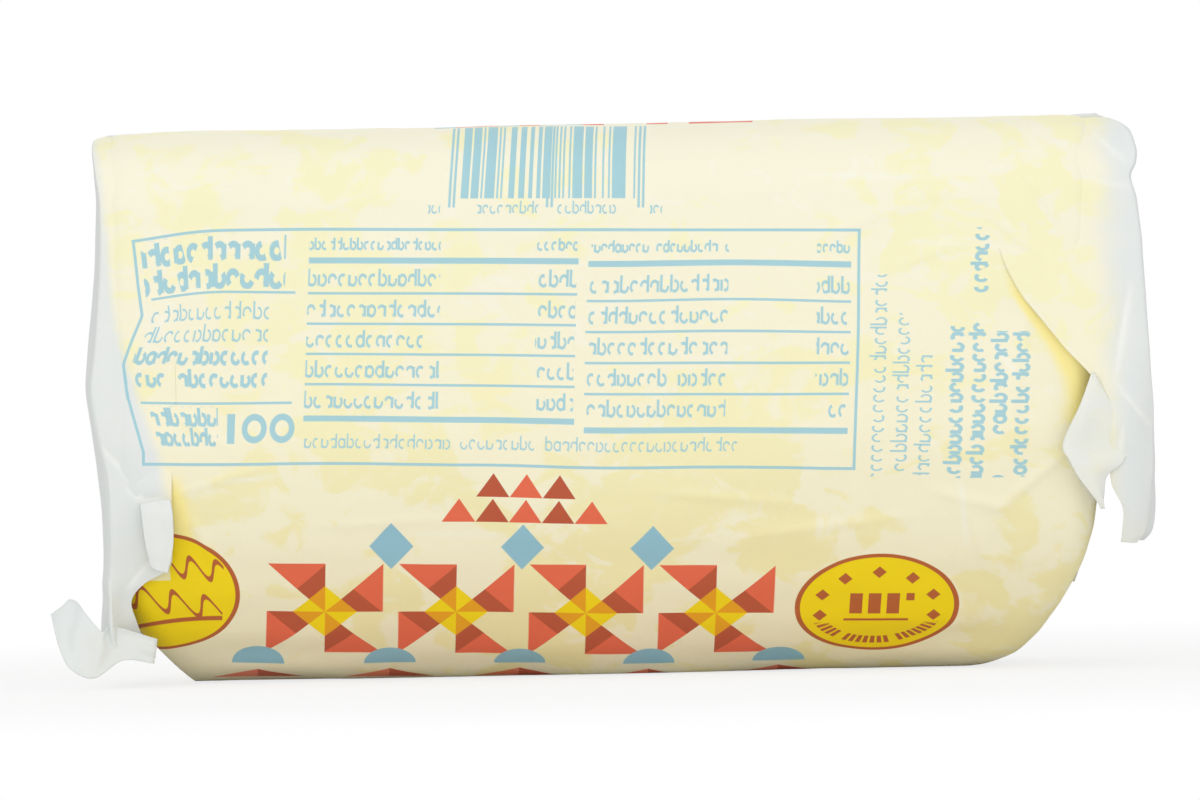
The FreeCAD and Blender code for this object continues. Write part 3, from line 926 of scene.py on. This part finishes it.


# ---------------------------------------------------------------- materials
# Tones of the paper: cream near the butter and yellow where it clings, both from the foot
# up and a little darker low down as painted shade; milky marks; where it hangs free; over pressed butter, deepened by
# painted shade in its crease; and painted highlights along sharp folds.
CREAMS_WITH_FOOT_SHADE = colour(246, 238, 206), colour(247, 241, 211), colour(247, 243, 219)
YELLOWS_WITH_FOOT_SHADE = colour(242, 230, 166), colour(247, 242, 192)
MILKY = colour(247, 244, 228)
FREE = colour(225, 231, 232), colour(234, 235, 229)
DEEP_YELLOW_WITH_SHADE, HIGHLIGHT_WHITE = colour(254, 239, 156), colour(248, 248, 243)


def parchment(name, printed=None):
    """Waxed translucent paper: cream where it lies near the butter, darker towards the foot as
    painted shade, with yellower patches where it clings to it, bluish white where it hangs free,
    deep yellow over pressed butter with painted shade in its crease, painted highlights along
    sharp folds, and with a part of the print on it."""
    material, tree, shader, start = new_material(name)

    def fact(key):
        return start.node("ShaderNodeAttribute", {"attribute_name": key}, None, output=2)

    place = start.node("ShaderNodeTexCoord", None, None, output=3)
    px, py, pz = (start.node("ShaderNodeSeparateXYZ", None, {0: place}, output=k) * 1000.0 for k in range(3))
    # The cream and the yellow turn darker and yellower towards the foot: painted shade.
    cream = blend(CREAMS_WITH_FOOT_SHADE[0], CREAMS_WITH_FOOT_SHADE[1], pz.ease(4.0, 34.0))
    cream = blend(cream, CREAMS_WITH_FOOT_SHADE[2], pz.ease(34.0, 88.0))
    yellow = blend(YELLOWS_WITH_FOOT_SHADE[0], YELLOWS_WITH_FOOT_SHADE[1], pz.ease(8.0, 60.0))
    region = noise(start, px, pz, 0.03, 1.0, 0.5, 0.0, py)
    patch = noise(start, px, pz * 1.25, 0.105, 5.0, 0.56, 0.6, py)
    patch = patch + (region - 0.5) * 0.5 + pz.ease(0.0, 40.0) * 0.07 - pz.ease(62.0, 78.0) * 0.06
    patch = patch.ease(0.54, 0.625)
    pale = noise(start, px + 90.0, pz * 1.3, 0.16, 5.0, 0.6, 0.8, py).ease(0.58, 0.63)
    touch = blend(cream, yellow, patch * 0.72)
    touch = blend(touch, MILKY, pale * pz.ease(10.0, 60.0) * 0.45)
    free = blend(FREE[0], FREE[1], noise(start, px, pz, 0.09, 3.0, 0.6, 0.5, py))
    ragged = fact("cling") + (noise(start, px, pz, 0.14, 3.0, 0.55, 0.3, py) - 0.5) * 0.45
    paper = blend(free, touch, ragged.ease(0.1, 0.9))
    # Deep yellow over pressed butter: partly the butter's own colour, partly painted shade in the crease.
    paper = blend(paper, DEEP_YELLOW_WITH_SHADE, fact("deep"))
    # Painted highlights along folds; the left tab and the right ear take a faint even share of this white.
    paper = blend(paper, HIGHLIGHT_WHITE, fact("white") * 0.8)
    final = printed(fact("along"), fact("up"), paper) if printed else paper
    tree.links.new(final.socket, shader.inputs["Base Color"])

    crinkle = noise(start, px, pz, 0.22, 5.0, 0.6, 0.6, py)
    grain = noise(start, px, pz, 2.2, 2.0, 0.5, 0.0, py)
    height_map = crinkle * 0.9 + grain * 0.05
    bump = start.node("ShaderNodeBump", None, {"Strength": 0.3, "Distance": 0.0005, "Height": height_map})
    tree.links.new(bump.socket, shader.inputs["Normal"])
    rough = 0.45 + crinkle * 0.2
    tree.links.new(rough.socket, shader.inputs["Roughness"])
    shader.inputs["Specular IOR Level"].default_value = 0.35
    return material


def butter():
    """Soft pale yellow butter with faint streaks."""
    material, tree, shader, start = new_material("butter")
    place = start.node("ShaderNodeTexCoord", None, None, output=3)
    streak = start.node("ShaderNodeTexNoise", None, {"Vector": place, "Scale": 60.0, "Detail": 3.0})
    tone = blend(colour(243, 222, 130), colour(247, 232, 155), streak)
    tree.links.new(tone.socket, shader.inputs["Base Color"])
    bump = start.node("ShaderNodeBump", None, {"Strength": 0.2, "Distance": 0.0004, "Height": streak})
    tree.links.new(bump.socket, shader.inputs["Normal"])
    shader.inputs["Roughness"].default_value = 0.45
    return material


# ---------------------------------------------------------------- the stage
AMBIENT = 0.70
LAMPS = (
    # name, place (m), size (m), power (W)
    ("above", (0.0, -0.5, 1.1), 1.2, 1.5),
    ("front_left", (-0.8, -1.3, 0.35), 0.9, 3.0),
    ("front_right", (0.8, -1.3, 0.30), 0.9, 2.7),
    ("front_low", (0.0, -1.2, 0.05), 0.5, 1.6),
    ("behind", (0.0, 1.1, 0.8), 1.0, 2.0),
)


SHADE_NEAR, SHADE_FAR, SHADE = 0.10, 0.26, 0.22  # distances (m), and its share near the block


def stage():
    """A white floor and surround that stay white to the eye; near the block the floor
    takes part of its shade from the light, so that it keeps a soft shadow."""
    bpy.ops.mesh.primitive_plane_add(size=8.0, location=(0.0, 0.0, -0.0002))
    floor = bpy.context.object
    floor.name = "floor"
    material, tree, shader, start = new_material("floor")
    shader.inputs["Base Color"].default_value = (0.86, 0.86, 0.86, 1.0)
    shader.inputs["Roughness"].default_value = 0.9
    place = start.node("ShaderNodeTexCoord", None, None, output=3)
    away = start.node("ShaderNodeVectorMath", {"operation": "LENGTH"}, {0: place}, output=1)
    seen = start.node("ShaderNodeLightPath", None, None, output=0)
    glow = start.node("ShaderNodeEmission", None, {"Strength": 1.0})
    share = seen * (1.0 - SHADE + SHADE * away.ease(SHADE_NEAR, SHADE_FAR))
    mix = start.node("ShaderNodeMixShader", None, {0: share, 1: start, 2: glow})
    tree.links.new(mix.socket, tree.nodes["Material Output"].inputs["Surface"])
    floor.data.materials.append(material)

    world = bpy.data.worlds.new("surround")
    bpy.context.scene.world = world
    world.use_nodes = True
    tree = world.node_tree
    background = tree.nodes["Background"]
    background.inputs["Color"].default_value = (1.0, 1.0, 1.0, 1.0)
    seen = Sum(tree, background.outputs[0]).node("ShaderNodeLightPath", None, None, output=0)
    tree.links.new((seen * (1.0 - AMBIENT) + AMBIENT).socket, background.inputs["Strength"])


def lamps():
    """Wide soft lamps that all face the block."""
    for name, place, size, power in LAMPS:
        data = bpy.data.lights.new(name, "AREA")
        data.size, data.energy = size, power
        lamp = bpy.data.objects.new(name, data)
        bpy.context.scene.collection.objects.link(lamp)
        lamp.location = place
        aim = np.array([0.0, 0.0, 0.04]) - np.array(place)
        lamp.rotation_euler = direction(aim)


def direction(aim):
    """Turns that point an object's -Z along a direction, with no roll."""
    length = float(np.linalg.norm(aim))
    pitch = math.acos(-aim[2] / length)
    return (pitch, 0.0, math.atan2(-aim[0], aim[1]))


VIEW_WIDTH = 185.5  # millimetres across the picture at the front of the block
VIEW_MIDDLE = 43.15  # height at the picture's middle
ELEVATION, ROLL, DISTANCE = 0.3, 1.2, 1500.0
EYE_X = -0.33


def camera():
    """A long lens, nearly level, square to the printed front, with a slight roll."""
    data = bpy.data.cameras.new("camera")
    data.sensor_width = 36.0
    data.lens = 36.0 * DISTANCE / VIEW_WIDTH
    eye = bpy.data.objects.new("camera", data)
    bpy.context.scene.collection.objects.link(eye)
    lift = math.radians(ELEVATION)
    front = MIDDLE_Y - HALF_DEPTH
    back, up = DISTANCE * math.cos(lift), DISTANCE * math.sin(lift)
    eye.location = (EYE_X * MM, (front - back) * MM, (VIEW_MIDDLE + up) * MM)
    eye.rotation_mode = "XYZ"
    eye.rotation_euler = (math.pi / 2 - lift, math.radians(ROLL), 0.0)
    data.clip_start, data.clip_end = 0.05, 20.0
    bpy.context.scene.camera = eye


# ---------------------------------------------------------------- putting it together
MATERIALS = {
    "parchment": [
        parchment("parchment"),
        parchment("parchment_table", blue_table),
        parchment("parchment_border", lower_border),
        parchment("parchment_margins", blue_margins),
    ],
    "butter": [butter()],
}
wrapped_block()
butter_core()
end_flap("left_flap", -1, LEFT_FLAP)
end_flap("right_flap", 1, RIGHT_FLAP)
strip("left_tail", LEFT_TAIL, wave=0.6, seed=41)
strip("left_tab", LEFT_TAB, wave=0.3, seed=42, white=0.2)
strip("right_ear", RIGHT_EAR, wave=0.5, seed=43, cling=0.35, white=0.2)
end_tuck("left_tuck", -1, 6.0)
end_tuck("right_tuck", 1, 13.0)
back_lap()

stage()
lamps()
camera()
bpy.context.scene.view_settings.view_transform = "Standard"
